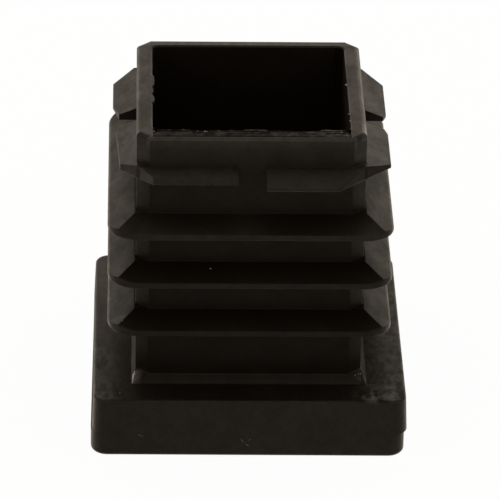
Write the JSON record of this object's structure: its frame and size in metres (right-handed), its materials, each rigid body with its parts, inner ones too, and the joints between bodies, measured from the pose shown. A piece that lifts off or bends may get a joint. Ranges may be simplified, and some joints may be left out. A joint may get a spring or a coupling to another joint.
{
  "type": "tube end cap",
  "caption": "Square ribbed plug that closes the open end of a square metal tube, with a thick flat head and a hollow ribbed core.",
  "frame": {"origin": "middle of the head's flat bottom face, on the core's axis", "axes": "+Z along the core, from the head towards the open mouth; -Y is the front, X and Y run square to the sides"},
  "size_m": [0.0251, 0.025, 0.0264],
  "materials": {
    "plastic": "satin"
  },
  "bodies": {
    "root": {"end_cap": "plastic"}
  },
  "joints": []
}
